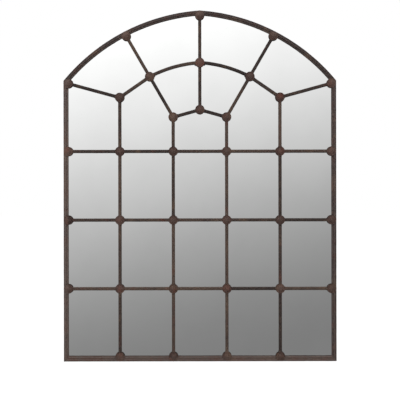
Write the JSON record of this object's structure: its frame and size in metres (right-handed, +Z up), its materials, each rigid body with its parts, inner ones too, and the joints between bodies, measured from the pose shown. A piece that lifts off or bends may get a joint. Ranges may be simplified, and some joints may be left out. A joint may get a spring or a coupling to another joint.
{
  "type": "arched window mirror",
  "caption": "Arched wall mirror made like an iron window, with a grid and fan of rusted glazing bars, domed cast bosses on the joints, one mirror sheet and hanging rings.",
  "frame": {"origin": "bottom centre of the whole mirror: under the bottom rail, on the axis of symmetry, at mid depth", "axes": "+Z up the mirror, +X to the right seen from the front, the front faces -Y and the wall side faces +Y"},
  "size_m": [1.1, 0.031, 1.415],
  "materials": {
    "frame_iron": "rolled iron, dark brown patina mottled with rust, matt",
    "boss_iron": "sand-cast iron, pitted, dark rim and rustier crown",
    "mirror": "silvered float glass",
    "board": "hardboard, smooth brown",
    "hanger_steel": "zinc-plated steel, dull",
    "tab_steel": "bent steel strip, dark"
  },
  "bodies": {
    "root": {"right_stile": "frame_iron", "left_stile": "frame_iron", "bottom_rail": "frame_iron", "arch_right": "frame_iron", "arch_left": "frame_iron", "mirror_glass": "mirror", "backing_board": "board", "row_bars_lower": "frame_iron", "row_bars_middle": "frame_iron", "row_bars_upper": "frame_iron", "column_bars_inner_right": "frame_iron", "column_bars_inner_left": "frame_iron", "column_bars_outer_right": "frame_iron", "column_bars_outer_left": "frame_iron", "low_fan_bar_right": "frame_iron", "low_fan_bar_left": "frame_iron", "fan_arc_bar_right": "frame_iron", "fan_arc_bar_left": "frame_iron", "fan_side_bar_right": "frame_iron", "fan_side_bar_left": "frame_iron", "inner_spoke_right": "frame_iron", "inner_spoke_left": "frame_iron", "outer_spoke_right": "frame_iron", "outer_spoke_left": "frame_iron", "corner_spoke_right": "frame_iron", "corner_spoke_left": "frame_iron", "top_spoke_lower": "frame_iron", "top_spoke_upper": "frame_iron", "bosses_bottom": "boss_iron", "bosses_row_lower": "boss_iron", "bosses_row_middle": "boss_iron", "bosses_row_upper": "boss_iron", "bosses_fan_inner": "boss_iron", "bosses_fan_outer": "boss_iron", "bosses_arch": "boss_iron", "retaining_tabs": "tab_steel", "hanger_plate_right": "hanger_steel", "hanger_plate_left": "hanger_steel", "ring_strap_right": "hanger_steel", "ring_strap_left": "hanger_steel", "strap_rivets": "hanger_steel"},
    "left_ring": {"hanging_ring_left": "hanger_steel"},
    "right_ring": {"hanging_ring_right": "hanger_steel"}
  },
  "joints": [
    {"name": "left_ring_swing", "type": "hinge", "parent": "root", "child": "left_ring", "pos_m": [-0.5268, 0.01128, 1], "axis": [1, 0, 0], "range_deg": [0, 180]},
    {"name": "right_ring_swing", "type": "hinge", "parent": "root", "child": "right_ring", "pos_m": [0.5268, 0.01128, 1], "axis": [1, 0, 0], "range_deg": [0, 180]}
  ]
}
